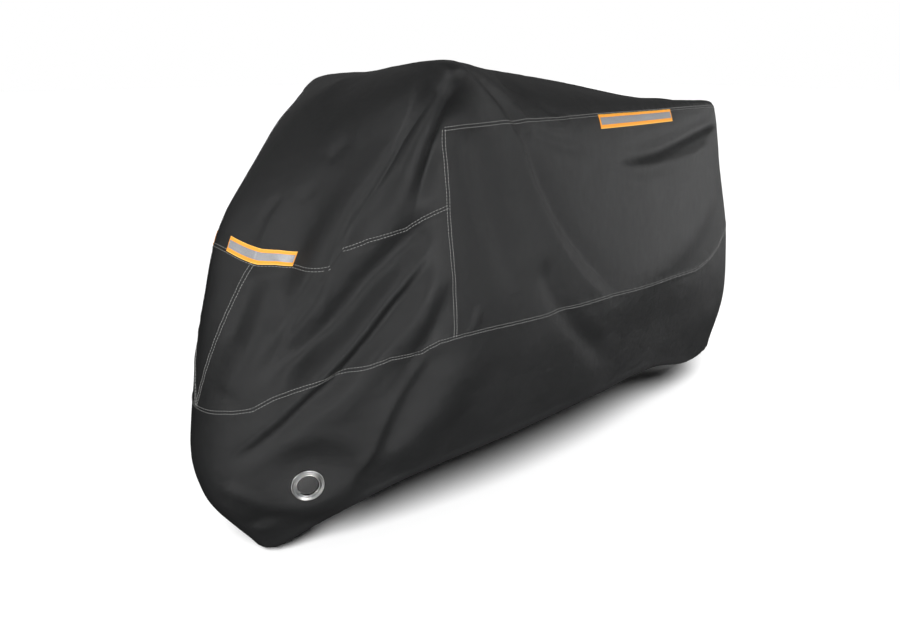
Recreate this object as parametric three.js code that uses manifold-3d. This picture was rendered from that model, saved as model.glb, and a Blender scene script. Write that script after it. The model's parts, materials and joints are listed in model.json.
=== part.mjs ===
// Motorcycle cover: a fitted cloth cover as it hangs, with its folds, two metal eyelets
// and four reflective strips. Millimetres, +X to the tail, +Z up, left side at -Y.
import * as THREE from "three";
import Module from "manifold-3d";

const wasm = await Module();
wasm.setup();

// Driving dimensions
const CLOTH = 2;
const TAPE = 1;
const SEAM_GAP = 0.3;
const EYELET_HOLE = 48;
const EYELET_OUTSIDE = 78;
const EYELET_BARREL = 1.2;
const EYELET_FLANGE = 1.2;
const EYELET_PLAY = 0.5;
const EYELET_SIDES = 24;
const PUNCH_LENGTH = 20;
const FLAT_ROUND_EYELET = 75;
const FLAT_FADES_BY = 135;
const FOLD_FADES_IN = 0.2;
const FOLD_FADES_OUT = 0.25;
const BAR_TURN = 0.2;
const BAR_DIP = 0.06;
const ORIGIN = { x: 722.85, y: 0, z: 20.1 };

const LEFT = -1;
const RIGHT = 1;
const SIDES = [
  { sign: LEFT, name: "left" },
  { sign: RIGHT, name: "right" },
];

// The form is held by ribs, from nose to tail, crossed by courses, from hem to ridge.
// Each rib gives every course as [x, half width, z]; turned says how far the rib follows
// the handlebar, which is turned a little to the right.
const COURSES = ["hem", "calf", "skirt", "belt", "shoulder", "brow", "ridge"];
const COURSE_FOLLOWS_BAR = [0, 0, 0, 0.2, 0.6, 1, 1];
const RIBS = [
  { name: "nose", turned: 0, hem: [-158, 0, 20], calf: [-275, 0, 212], skirt: [-271, 0, 425],
    belt: [-184, 0, 785], shoulder: [-66, 0, 950], brow: [32, 0, 1052], ridge: [125, 0, 1105] },
  { name: "cheek", turned: 0.3, hem: [-128, 50, 30], calf: [-252, 72, 225], skirt: [-240, 85, 432],
    belt: [-150, 78, 765], shoulder: [-34, 95, 950], brow: [60, 95, 1056], ridge: [145, 0, 1113] },
  { name: "fork", turned: 0.7, hem: [-60, 105, 84], calf: [-168, 135, 262], skirt: [-158, 152, 465],
    belt: [-75, 140, 750], shoulder: [38, 195, 962], brow: [118, 195, 1080], ridge: [172, 0, 1120] },
  { name: "lamp", turned: 0.9, hem: [20, 175, 150], calf: [-55, 200, 320], skirt: [-60, 215, 505],
    belt: [-15, 225, 770], shoulder: [120, 282, 990], brow: [182, 292, 1112], ridge: [207, 0, 1127] },
  { name: "bar", turned: 1, hem: [150, 235, 205], calf: [180, 290, 390], skirt: [205, 322, 570],
    belt: [190, 332, 868], shoulder: [205, 340, 1024], brow: [238, 366, 1128], ridge: [250, 0, 1130] },
  { name: "tank", turned: 0.5, hem: [420, 280, 238], calf: [430, 312, 400], skirt: [440, 328, 568],
    belt: [435, 310, 830], shoulder: [435, 290, 1018], brow: [450, 190, 1122], ridge: [470, 0, 1125] },
  { name: "seat", turned: 0.1, hem: [760, 280, 248], calf: [740, 300, 400], skirt: [720, 315, 558],
    belt: [740, 285, 800], shoulder: [768, 230, 1016], brow: [780, 100, 1090], ridge: [790, 0, 1101] },
  { name: "rack", turned: 0, hem: [1100, 230, 225], calf: [1090, 245, 380], skirt: [1080, 262, 535],
    belt: [1090, 232, 780], shoulder: [1100, 165, 1012], brow: [1110, 75, 1047], ridge: [1120, 0, 1052] },
  { name: "rear", turned: 0, hem: [1400, 175, 150], calf: [1420, 195, 330], skirt: [1430, 200, 520],
    belt: [1425, 172, 770], shoulder: [1400, 115, 1010], brow: [1405, 55, 1020], ridge: [1410, 0, 1023] },
  { name: "corner", turned: 0, hem: [1590, 135, 160], calf: [1632, 149, 350], skirt: [1612, 142, 585],
    belt: [1586, 110, 790], shoulder: [1546, 84, 1002], brow: [1532, 40, 1007], ridge: [1530, 0, 1008] },
  { name: "tail", turned: 0, hem: [1680, 0, 170], calf: [1731, 0, 350], skirt: [1710, 0, 600],
    belt: [1665, 0, 800], shoulder: [1631, 0, 950], brow: [1592, 0, 988], ridge: [1565, 0, 1000] },
];
const LAST_RIB = RIBS.length - 1;
const RIDGE = COURSES.indexOf("ridge");
const SKIRT = COURSES.indexOf("skirt");
const BELT = COURSES.indexOf("belt");
const SHOULDER = COURSES.indexOf("shoulder");
const BAR = RIBS.findIndex((rib) => rib.name === "bar");

// Seam places, as rib numbers and course numbers
const NOSE_POINT = 1.15;
const STRIP_FRONT = { from: 0.42, to: 2, bottom: BELT, top: 3.13 };
const STRIP_REAR = { from: 6, to: 7.3, bottom: 3.8, top: SHOULDER };
const EYELET = { rib: 2.53, course: 0.7 };
// The belt seam steps where the long pleat crosses it: it sinks before and rises after.
const BELT_STEP = { start: 2.3, low: 2.9, high: 3.02, end: 3.6, sink: -0.1, rise: 0.05, reach: 0.6 };

// Folds: rise is the height of a ridge, or below zero the depth of a trough; width is its
// half width; the path runs over [rib, course] points. On the right side a fold is mirrored,
// scaled by "right" and moved along the ribs by "shift".
const FOLDS = [
  { name: "long pleat", rise: -20, width: 22, right: 0.8, shift: 0.1,
    path: [[3.8, 4.65], [3.45, 4.25], [3.05, 3.7], [2.98, 3.1], [2.6, 2.75], [1.95, 2.4]] },
  { name: "ridge before the pleat", rise: 18, width: 42, right: 0.9, shift: 0.1,
    path: [[3.6, 4.4], [3, 3.83], [2.7, 3.4], [2.23, 2.88], [1.28, 2.23]] },
  { name: "wedge behind the pleat", rise: 20, width: 34, right: 0.8, shift: 0,
    path: [[3.8, 4.5], [3.66, 4.1], [3.55, 3.7], [3.5, 3.38], [3.3, 3]] },
  { name: "crease under the bar", rise: -14, width: 22, right: 0.9, shift: 0,
    path: [[3.9, 4.67], [3.9, 4.08], [3.75, 3.35], [3.68, 3]] },
  { name: "broad trough", rise: -26, width: 38, right: 0.7, shift: -0.1,
    path: [[3.98, 3.25], [3.7, 2.93], [3.43, 2.75], [3, 2.4], [2.02, 2]] },
  { name: "ridge under the broad trough", rise: 13, width: 24, right: 0.8, shift: 0,
    path: [[3.93, 2.93], [3.58, 2.73], [3.2, 2.43], [2.78, 2.02], [1.95, 1.83]] },
  { name: "wheel trough", rise: -22, width: 26, right: 0.9, shift: 0.1,
    path: [[3.98, 2.85], [3.62, 2.62], [3.18, 2.23], [2.43, 1.73], [0.65, 1.35]] },
  { name: "ridge over the wheel", rise: 15, width: 45, right: 0.8, shift: 0,
    path: [[3.95, 2.7], [3.65, 2.38], [3.35, 2], [2.78, 1.55], [1.62, 1.3]] },
  { name: "trough before the side seam", rise: -16, width: 34, right: 0.8, shift: 0,
    path: [[4, 2.53], [3.85, 2.27], [3.72, 1.98], [3.62, 1.4], [3.5, 0.9]] },
  { name: "skirt ridge", rise: 14, width: 20, right: 0.7, shift: 0.1,
    path: [[3.65, 1.9], [3.5, 1.25], [3.23, 0.55], [2.95, 0]] },
  { name: "hem swell", rise: 16, width: 50, right: 0.9, shift: 0.2,
    path: [[4.12, 1.88], [4.1, 1.1], [3.7, 0.5], [3.18, 0.18]] },
  { name: "nose hollow", rise: -12, width: 26, right: 0.8, shift: 0,
    path: [[1.25, 2.95], [1.25, 2.73], [0.95, 2.43], [0.7, 2.2]] },
  { name: "tank trough", rise: -12, width: 38, right: 0.9, shift: 0.2,
    path: [[4.3, 4.1], [4.38, 3.7], [4.45, 3.03], [4.58, 2.4]] },
  { name: "long rear trough", rise: -16, width: 32, right: 0.7, shift: 0.3,
    path: [[4.1, 4.75], [4.67, 4.5], [4.95, 4.03], [5.25, 3.23], [5.83, 2.5], [6.15, 2.05]] },
  { name: "ridge before the rear trough", rise: 12, width: 34, right: 0.7, shift: 0.3,
    path: [[4.95, 3.6], [5.12, 3.12], [5.4, 2.68], [6.18, 1.73]] },
  { name: "crown ridge", rise: 10, width: 30, right: 0.8, shift: 0,
    path: [[4.6, 4.65], [4.9, 4.35], [5.03, 4.1], [5.23, 3.8], [5.5, 3.62]] },
  { name: "low rear trough", rise: -18, width: 40, right: 0.8, shift: 0.2,
    path: [[5, 2.7], [5.25, 2.45], [5.48, 1.98], [5.9, 1.2], [6.3, 0.3]] },
  { name: "tail fold", rise: -18, width: 28, right: 1, shift: -0.1,
    path: [[6.3, 3.42], [6.9, 3.45], [7.6, 3.52], [8.2, 3.6], [8.75, 3.7]] },
  { name: "tail swell", rise: 18, width: 75, right: 0.8, shift: 0,
    path: [[5.9, 2.05], [6.5, 2.35], [6.9, 2.55], [7.73, 3.08], [8.2, 3.35]] },
];

// Smooth interpolation
const smooth = (t) => {
  const c = Math.min(1, Math.max(0, t));
  return c * c * (3 - 2 * c);
};

// A Catmull-Rom curve through four points, from the second to the third
const between = (a, b, c, d, t) => a.map((_, k) => 0.5 * (2 * b[k] + (c[k] - a[k]) * t
  + (2 * a[k] - 5 * b[k] + 4 * c[k] - d[k]) * t * t
  + (3 * b[k] - a[k] - 3 * c[k] + d[k]) * t * t * t));

const beyond = (end, inner) => end.map((value, k) => 2 * value - inner[k]);

// One rib's course on one side, with the turn of the handlebar
function held(side, rib, course) {
  const [x, half, z] = RIBS[rib][COURSES[course]];
  const y = side * half;
  const follow = RIBS[rib].turned * COURSE_FOLLOWS_BAR[course];
  return [x + BAR_TURN * y * follow, y, z - BAR_DIP * y * follow];
}

// A course at any rib number; past the nose and the tail the other side goes on
function alongCourse(side, rib, course) {
  const i = Math.min(LAST_RIB - 1, Math.floor(rib));
  const before = i === 0 ? held(-side, 1, course) : held(side, i - 1, course);
  const after = i === LAST_RIB - 1 ? held(-side, LAST_RIB - 1, course) : held(side, i + 2, course);
  return between(before, held(side, i, course), held(side, i + 1, course), after, rib - i);
}

function beltShift(rib, course) {
  const step = BELT_STEP;
  const near = Math.max(0, 1 - Math.abs(course - BELT) / step.reach);
  if (near === 0 || rib >= BAR) return 0;
  const down = step.sink * smooth((rib - step.start) / (step.low - step.start));
  const up = (step.rise - step.sink) * smooth((rib - step.low) / (step.high - step.low));
  const away = step.rise * smooth((rib - step.high) / (step.end - step.high));
  return near * (down + up - away);
}

// The cloth's form without folds, at a rib number and a course number
function form(side, rib, course) {
  const moved = course + beltShift(rib, course);
  const j = Math.min(RIDGE - 1, Math.floor(moved));
  const low = alongCourse(side, rib, j);
  const high = alongCourse(side, rib, j + 1);
  const below = j === 0 ? beyond(low, high) : alongCourse(side, rib, j - 1);
  const above = j === RIDGE - 1
    ? alongCourse(-side, rib, RIDGE - 1) : alongCourse(side, rib, j + 2);
  return new THREE.Vector3(...between(below, low, high, above, moved - j));
}

// Height of all folds at a point of the form
const foldPaths = SIDES.flatMap(({ sign }) => FOLDS.map((fold) => ({
  ...fold,
  rise: sign === LEFT ? fold.rise : fold.rise * fold.right,
  points: fold.path.map(([rib, course]) => form(sign, rib + (sign === LEFT ? 0 : fold.shift), course)),
})));

function foldHeight(place) {
  const line = new THREE.Line3();
  const nearest = new THREE.Vector3();
  let height = 0;
  for (const fold of foldPaths) {
    const pieces = fold.points.length - 1;
    let best = Infinity;
    let along = 0;
    for (let k = 0; k < pieces; k += 1) {
      line.set(fold.points[k], fold.points[k + 1]);
      const t = line.closestPointToPointParameter(place, true);
      const distance = line.at(t, nearest).distanceTo(place);
      if (distance < best) {
        best = distance;
        along = (k + t) / pieces;
      }
    }
    const fades = smooth(along / FOLD_FADES_IN) * smooth((1 - along) / FOLD_FADES_OUT);
    height += fold.rise * fades * Math.exp(-((best / fold.width) ** 2));
  }
  return height;
}

// The cloth's vertices, shared by all its panels, and its faces by panel
const places = [];
const placeNumbers = new Map();
const panels = new Map();

function vertex(side, rib, course) {
  const shared = rib === 0 || rib === LAST_RIB || course === RIDGE;
  const key = [shared ? 0 : side, rib.toFixed(4), course.toFixed(4)].join(" ");
  if (!placeNumbers.has(key)) {
    placeNumbers.set(key, places.length);
    places.push(form(side, rib, course));
  }
  return placeNumbers.get(key);
}

function addFace(panel, side, a, b, c) {
  if (a === b || b === c || c === a) return;
  if (!panels.has(panel)) panels.set(panel, []);
  panels.get(panel).push(side === LEFT ? [a, b, c] : [a, c, b]);
}

// Rows of points, low to high; both rows run from nose to tail, and may differ in number
function addBand(panel, side, low, high) {
  let i = 0;
  let j = 0;
  while (i < low.length - 1 || j < high.length - 1) {
    const lowNext = i < low.length - 1 ? (i + 1) / (low.length - 1) : Infinity;
    const highNext = j < high.length - 1 ? (j + 1) / (high.length - 1) : Infinity;
    if (lowNext <= highNext) {
      addFace(panel, side, low[i], low[i + 1], high[j]);
      i += 1;
    } else {
      addFace(panel, side, low[i], high[j + 1], high[j]);
      j += 1;
    }
  }
}

// Lines from stop to stop, each stretch in equal steps
function lines(stretches) {
  const list = [stretches[0].from];
  for (const { from, to, steps } of stretches) {
    for (let k = 1; k <= steps; k += 1) list.push(from + ((to - from) * k) / steps);
  }
  return list;
}

const NOSE_RIBS = lines([
  { from: 0, to: STRIP_FRONT.from, steps: 1 },
  { from: STRIP_FRONT.from, to: NOSE_POINT, steps: 2 },
]);
const FRONT_RIBS = lines([
  { from: NOSE_POINT, to: STRIP_FRONT.to, steps: 3 },
  { from: STRIP_FRONT.to, to: 3, steps: 4 },
  { from: 3, to: BAR, steps: 7 },
]);
const REAR_RIBS = lines([
  { from: BAR, to: 5, steps: 6 },
  { from: 5, to: STRIP_REAR.from, steps: 6 },
  { from: STRIP_REAR.from, to: STRIP_REAR.to, steps: 8 },
  { from: STRIP_REAR.to, to: 8, steps: 4 },
  { from: 8, to: 9, steps: 4 },
  { from: 9, to: LAST_RIB, steps: 4 },
]);
const SKIRT_COURSES = lines([
  { from: 0, to: 1, steps: 5 },
  { from: 1, to: SKIRT, steps: 5 },
]);
const SIDE_COURSES = lines([{ from: SKIRT, to: BELT, steps: 8 }]);
const UPPER_COURSES = lines([
  { from: BELT, to: STRIP_FRONT.top, steps: 1 },
  { from: STRIP_FRONT.top, to: STRIP_REAR.bottom, steps: 4 },
  { from: STRIP_REAR.bottom, to: SHOULDER, steps: 1 },
]);
const CROWN_COURSES = lines([
  { from: SHOULDER, to: 5, steps: 5 },
  { from: 5, to: RIDGE, steps: 5 },
]);

// Under the belt the front ribs lean forward, so that the first follows the nose seam
function leaning(rib, course) {
  const seam = NOSE_POINT * (course - SKIRT);
  return seam + ((rib - NOSE_POINT) * (BAR - seam)) / (BAR - NOSE_POINT);
}

function addGrid(panel, side, ribs, courses, ribAt = (rib) => rib) {
  for (let j = 0; j < courses.length - 1; j += 1) {
    const low = ribs.map((rib) => vertex(side, ribAt(rib, courses[j]), courses[j]));
    const high = ribs.map((rib) => vertex(side, ribAt(rib, courses[j + 1]), courses[j + 1]));
    addBand(panel, side, low, high);
  }
}

// The nose panel is a triangle that stands on its point, half of it on each side
function addNoseHalf(side) {
  const row = (course) => {
    const t = course - SKIRT;
    const count = Math.max(1, Math.round((NOSE_RIBS.length - 1) * t));
    if (t === 0) return [vertex(side, 0, course)];
    if (t === 1) return NOSE_RIBS.map((rib) => vertex(side, rib, course));
    return Array.from({ length: count + 1 },
      (_, k) => vertex(side, (NOSE_POINT * t * k) / count, course));
  };
  for (let j = 0; j < SIDE_COURSES.length - 1; j += 1) {
    addBand("nose_panel", side, row(SIDE_COURSES[j]), row(SIDE_COURSES[j + 1]));
  }
}

for (const { sign, name } of SIDES) {
  const aboveBelt = [...NOSE_RIBS, ...FRONT_RIBS.slice(1)];
  const skirtFront = (rib) => leaning(rib, SKIRT);
  addGrid("crown_panel", sign, aboveBelt, [...UPPER_COURSES, ...CROWN_COURSES.slice(1)]);
  addGrid("crown_panel", sign, REAR_RIBS, CROWN_COURSES);
  addNoseHalf(sign);
  addGrid(`front_side_${name}`, sign, FRONT_RIBS, SIDE_COURSES, leaning);
  addGrid(`rear_side_${name}`, sign, REAR_RIBS, [...SIDE_COURSES, ...UPPER_COURSES.slice(1)]);
  addGrid("skirt_front", sign, FRONT_RIBS, SKIRT_COURSES, skirtFront);
  addGrid(`skirt_${name}`, sign, REAR_RIBS, SKIRT_COURSES);
}

// Normals of the whole cloth, weighted by face area
function normalsOf(points) {
  const normals = points.map(() => new THREE.Vector3());
  const ab = new THREE.Vector3();
  const ac = new THREE.Vector3();
  for (const faces of panels.values()) {
    for (const [a, b, c] of faces) {
      ab.subVectors(points[b], points[a]);
      ac.subVectors(points[c], points[a]);
      const area = new THREE.Vector3().crossVectors(ab, ac);
      for (const corner of [a, b, c]) normals[corner].add(area);
    }
  }
  return normals.map((normal) => normal.normalize());
}

// Eyelet seats: the cloth is held flat between the two flanges
function seatOf(side) {
  const step = 0.01;
  const { rib, course } = EYELET;
  const centre = form(side, rib, course);
  const back = form(side, rib + step, course).sub(form(side, rib - step, course));
  const up = form(side, rib, course + step).sub(form(side, rib, course - step));
  const axis = back.cross(up).normalize().multiplyScalar(-side);
  return { centre, axis };
}
const seats = new Map(SIDES.map(({ sign, name }) => [name, seatOf(sign)]));

const formNormals = normalsOf(places);
const cloth = places.map((place, k) => {
  const point = place.clone().addScaledVector(formNormals[k], foldHeight(place));
  for (const { centre, axis } of seats.values()) {
    const offset = point.clone().sub(centre);
    const away = (offset.length() - FLAT_ROUND_EYELET) / (FLAT_FADES_BY - FLAT_ROUND_EYELET);
    point.addScaledVector(axis, -offset.dot(axis) * (1 - smooth(away)));
  }
  return point;
});
const clothNormals = normalsOf(cloth);

// A closed sheet over some faces of the cloth, from one height above it to another, drawn in
// at its border by half the seam gap
function sheet(faces, bottom, top) {
  const numbers = [...new Set(faces.flat())];
  const local = new Map(numbers.map((number, k) => [number, k]));
  const edges = new Set(faces.flatMap(([a, b, c]) => [`${a} ${b}`, `${b} ${c}`, `${c} ${a}`]));
  const border = [...edges].map((edge) => edge.split(" ").map(Number))
    .filter(([a, b]) => !edges.has(`${b} ${a}`));
  const inward = new Map();
  for (const [a, b] of border) {
    const along = cloth[b].clone().sub(cloth[a]);
    for (const end of [a, b]) {
      const drawn = clothNormals[end].clone().cross(along).normalize();
      if (!inward.has(end)) inward.set(end, []);
      inward.get(end).push(drawn);
    }
  }
  const drawnIn = (number) => {
    const ways = inward.get(number);
    if (!ways) return new THREE.Vector3();
    const sum = ways.reduce((total, way) => total.add(way), new THREE.Vector3());
    return sum.multiplyScalar(SEAM_GAP / 2 / Math.max(0.5, sum.lengthSq() / 2));
  };
  const positions = [];
  for (const height of [top, bottom]) {
    for (const number of numbers) {
      const point = cloth[number].clone().add(drawnIn(number));
      positions.push(...point.addScaledVector(clothNormals[number], height));
    }
  }
  const under = numbers.length;
  const indices = [];
  for (const corners of faces) {
    const [a, b, c] = corners.map((corner) => local.get(corner));
    indices.push(a, b, c, c + under, b + under, a + under);
  }
  for (const edge of border) {
    const [a, b] = edge.map((end) => local.get(end));
    if (edge[0] < edge[1]) indices.push(b, a, a + under, b, a + under, b + under);
    else indices.push(b, a, b + under, a, a + under, b + under);
  }
  return { positions, indices };
}

function geometryOf({ positions, indices }) {
  const geometry = new THREE.BufferGeometry();
  geometry.setAttribute("position", new THREE.Float32BufferAttribute(positions, 3));
  geometry.setIndex(indices);
  geometry.computeVertexNormals();
  return geometry;
}

// Holes for the eyelets' barrels
function punchedOut(body) {
  let solid = new wasm.Manifold(new wasm.Mesh({
    numProp: 3,
    vertProperties: new Float32Array(body.positions),
    triVerts: new Uint32Array(body.indices),
  }));
  const radius = EYELET_HOLE / 2 + EYELET_BARREL + EYELET_PLAY;
  const unscaled = new THREE.Vector3(1, 1, 1);
  for (const { centre, axis } of seats.values()) {
    const turn = new THREE.Quaternion().setFromUnitVectors(new THREE.Vector3(0, 0, 1), axis);
    const seat = new THREE.Matrix4().compose(centre, turn, unscaled);
    const punch = wasm.Manifold.cylinder(PUNCH_LENGTH, radius, radius, EYELET_SIDES, true);
    solid = solid.subtract(punch.transform(seat.elements));
  }
  const mesh = solid.getMesh();
  return { positions: [...mesh.vertProperties], indices: [...mesh.triVerts] };
}

// Materials
const charcoal = new THREE.MeshStandardMaterial({ color: 0x2e2e30, roughness: 0.55, metalness: 0 });
const silver = new THREE.MeshStandardMaterial({ color: 0xb9babb, roughness: 0.4, metalness: 0.1 });
const steel = new THREE.MeshStandardMaterial({ color: 0xc8c8c8, roughness: 0.25, metalness: 1 });

const cover = new THREE.Group();
cover.position.set(-ORIGIN.x, -ORIGIN.y, -ORIGIN.z);

function add(name, geometry, material) {
  const mesh = new THREE.Mesh(geometry, material);
  mesh.name = name;
  cover.add(mesh);
  return mesh;
}

// Cloth panels, below the surface that the form gives
for (const [name, faces] of panels) {
  const body = sheet(faces, -CLOTH, 0);
  add(name, geometryOf(name === "skirt_front" ? punchedOut(body) : body), charcoal);
}

// Reflective strips: each lies on the cloth between two ribs and two courses
function stripFaces(side, { from, to, bottom, top }, ribs, courses) {
  const inside = (value, low, high) => value >= low && value <= high;
  const ribLines = ribs.filter((rib) => inside(rib, from, to));
  const courseLines = courses.filter((course) => inside(course, bottom, top));
  const grid = courseLines.map((course) => ribLines.map((rib) => vertex(side, rib, course)));
  const wanted = new Set(grid.flat());
  return [...panels.values()].flat()
    .filter((corners) => corners.every((corner) => wanted.has(corner)));
}

for (const { sign, name } of SIDES) {
  const front = stripFaces(sign, STRIP_FRONT, [...NOSE_RIBS, ...FRONT_RIBS], UPPER_COURSES);
  const rear = stripFaces(sign, STRIP_REAR, REAR_RIBS, UPPER_COURSES);
  add(`strip_front_${name}`, geometryOf(sheet(front, SEAM_GAP, SEAM_GAP + TAPE)), silver);
  add(`strip_rear_${name}`, geometryOf(sheet(rear, SEAM_GAP, SEAM_GAP + TAPE)), silver);
}

// Eyelets: a barrel with a flange behind the cloth and, before it, a rim, a dip and a lip.
// The profile runs round the section as [radius, height over the cloth].
function eyeletProfile() {
  const inside = EYELET_HOLE / 2;
  const barrel = inside + EYELET_BARREL;
  const rim = { outside: EYELET_OUTSIDE / 2, inside: EYELET_OUTSIDE / 2 - 5, top: 3 };
  const dip = { outside: rim.inside - 1.5, inside: rim.inside - 4, top: 2 };
  const lip = { outside: dip.inside - 1.5, inside: inside + 1.5, top: 3.4 };
  const behind = { outside: rim.outside - 2, top: -CLOTH - SEAM_GAP };
  const back = behind.top - EYELET_FLANGE;
  const round = 1;
  return [
    [inside, back], [behind.outside, back], [behind.outside, behind.top],
    [barrel, behind.top], [barrel, SEAM_GAP], [rim.outside, SEAM_GAP],
    [rim.outside, rim.top - round], [rim.outside - round, rim.top], [rim.inside, rim.top],
    [dip.outside, dip.top], [dip.inside, dip.top], [lip.outside, lip.top],
    [lip.inside, lip.top], [inside, lip.top - round], [inside, back],
  ].map(([radius, height]) => new THREE.Vector2(radius, height));
}

for (const [name, { centre, axis }] of seats) {
  const ring = add(`eyelet_${name}`, new THREE.LatheGeometry(eyeletProfile(), EYELET_SIDES), steel);
  ring.position.copy(centre);
  ring.quaternion.setFromUnitVectors(new THREE.Vector3(0, 1, 0), axis);
}

export default cover;
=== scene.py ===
# %% [markdown]
# # A motorcycle cover, as it hangs
#
# The real thing is a bag of thin coated polyester. It is cut in a few large panels, sewn together with
# double rows of stitches, and drawn in at the hem by an elastic cord. Four reflective strips are sewn
# on, and two metal eyelets sit low on the front. It hangs from two high points, left and right, and lies
# on a ridge behind them, so its folds run down and forward from those points.
#
# A cover could be draped by a cloth simulation over a stand-in for what it hides. Here the folds have to
# lie where they lie on this one cover, so the cloth is written as a surface: ribs from nose to tail,
# crossed by courses from hem to ridge, with every fold placed one by one. The seams lie on that grid, so
# panels, stitches and strips are all cut from the one surface and fit each other.

import json
import math

import bmesh
import bpy
import numpy as np
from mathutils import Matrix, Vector, noise

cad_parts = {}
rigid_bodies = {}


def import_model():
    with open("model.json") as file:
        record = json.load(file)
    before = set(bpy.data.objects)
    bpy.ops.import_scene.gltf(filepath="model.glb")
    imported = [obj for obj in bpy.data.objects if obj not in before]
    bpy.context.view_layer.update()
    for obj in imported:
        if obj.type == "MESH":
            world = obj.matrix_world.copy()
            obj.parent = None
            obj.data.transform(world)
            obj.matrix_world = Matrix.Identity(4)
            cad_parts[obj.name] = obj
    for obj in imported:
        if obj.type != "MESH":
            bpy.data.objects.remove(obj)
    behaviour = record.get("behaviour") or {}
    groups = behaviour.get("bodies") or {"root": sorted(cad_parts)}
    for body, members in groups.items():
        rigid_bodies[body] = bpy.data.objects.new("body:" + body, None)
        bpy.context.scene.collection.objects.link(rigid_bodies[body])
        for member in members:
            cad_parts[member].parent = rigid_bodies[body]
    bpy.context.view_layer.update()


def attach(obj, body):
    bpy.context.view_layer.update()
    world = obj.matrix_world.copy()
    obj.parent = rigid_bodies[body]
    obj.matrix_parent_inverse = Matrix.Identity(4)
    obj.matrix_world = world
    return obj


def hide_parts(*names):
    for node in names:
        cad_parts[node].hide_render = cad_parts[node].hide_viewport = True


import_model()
BODY = "root"

# %% [markdown]
# ## Where the camera stands
#
# The picture is taken from in front of the cover's left side, a little above it, at about 1.8 m from the
# nose. The two sides of the outline run together quickly to the right, which only a wide lens does: 30 mm
# on a 36 mm sensor. The camera comes first, because everything else is judged through it.

# %% Directions and new objects
def pointing(heading, elevation):
    """A direction from two angles in degrees: the heading from +X towards +Y, the elevation from level."""
    heading, elevation = math.radians(heading), math.radians(elevation)
    return Vector((math.cos(heading) * math.cos(elevation), math.sin(heading) * math.cos(elevation),
                   math.sin(elevation)))


def add_object(name, data):
    thing = bpy.data.objects.new(name, data)
    bpy.context.scene.collection.objects.link(thing)
    return thing


# %% Camera
CAMERA_PLACE = Vector((-1.529, -1.509, 1.136))
CAMERA_HEADING, CAMERA_PITCH = 50.0, 18.4
LENS = 30.0
SENSOR = 36.0

forward = pointing(CAMERA_HEADING, -CAMERA_PITCH)
camera = add_object("camera", bpy.data.cameras.new("camera"))
camera.data.sensor_width = SENSOR
camera.data.lens = LENS
camera.data.clip_start = 0.05
camera.rotation_euler = forward.to_track_quat("-Z", "Y").to_euler()
camera.location = CAMERA_PLACE
bpy.context.scene.camera = camera
print("the camera looks along", [round(value, 3) for value in forward])

# %% [markdown]
# ## The form: ribs and courses
#
# A dressmaker would call these cross sections and hem lines. Each row below is one rib, and each column
# says where the rib crosses one course, as x, half width and z in metres. Both sides of the cover use the
# same row with y turned round. The bar that carries the two high points is turned a little, so the ribs
# near it lean: turned says how much a rib follows it, and FOLLOWS_BAR how much a course does.

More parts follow.
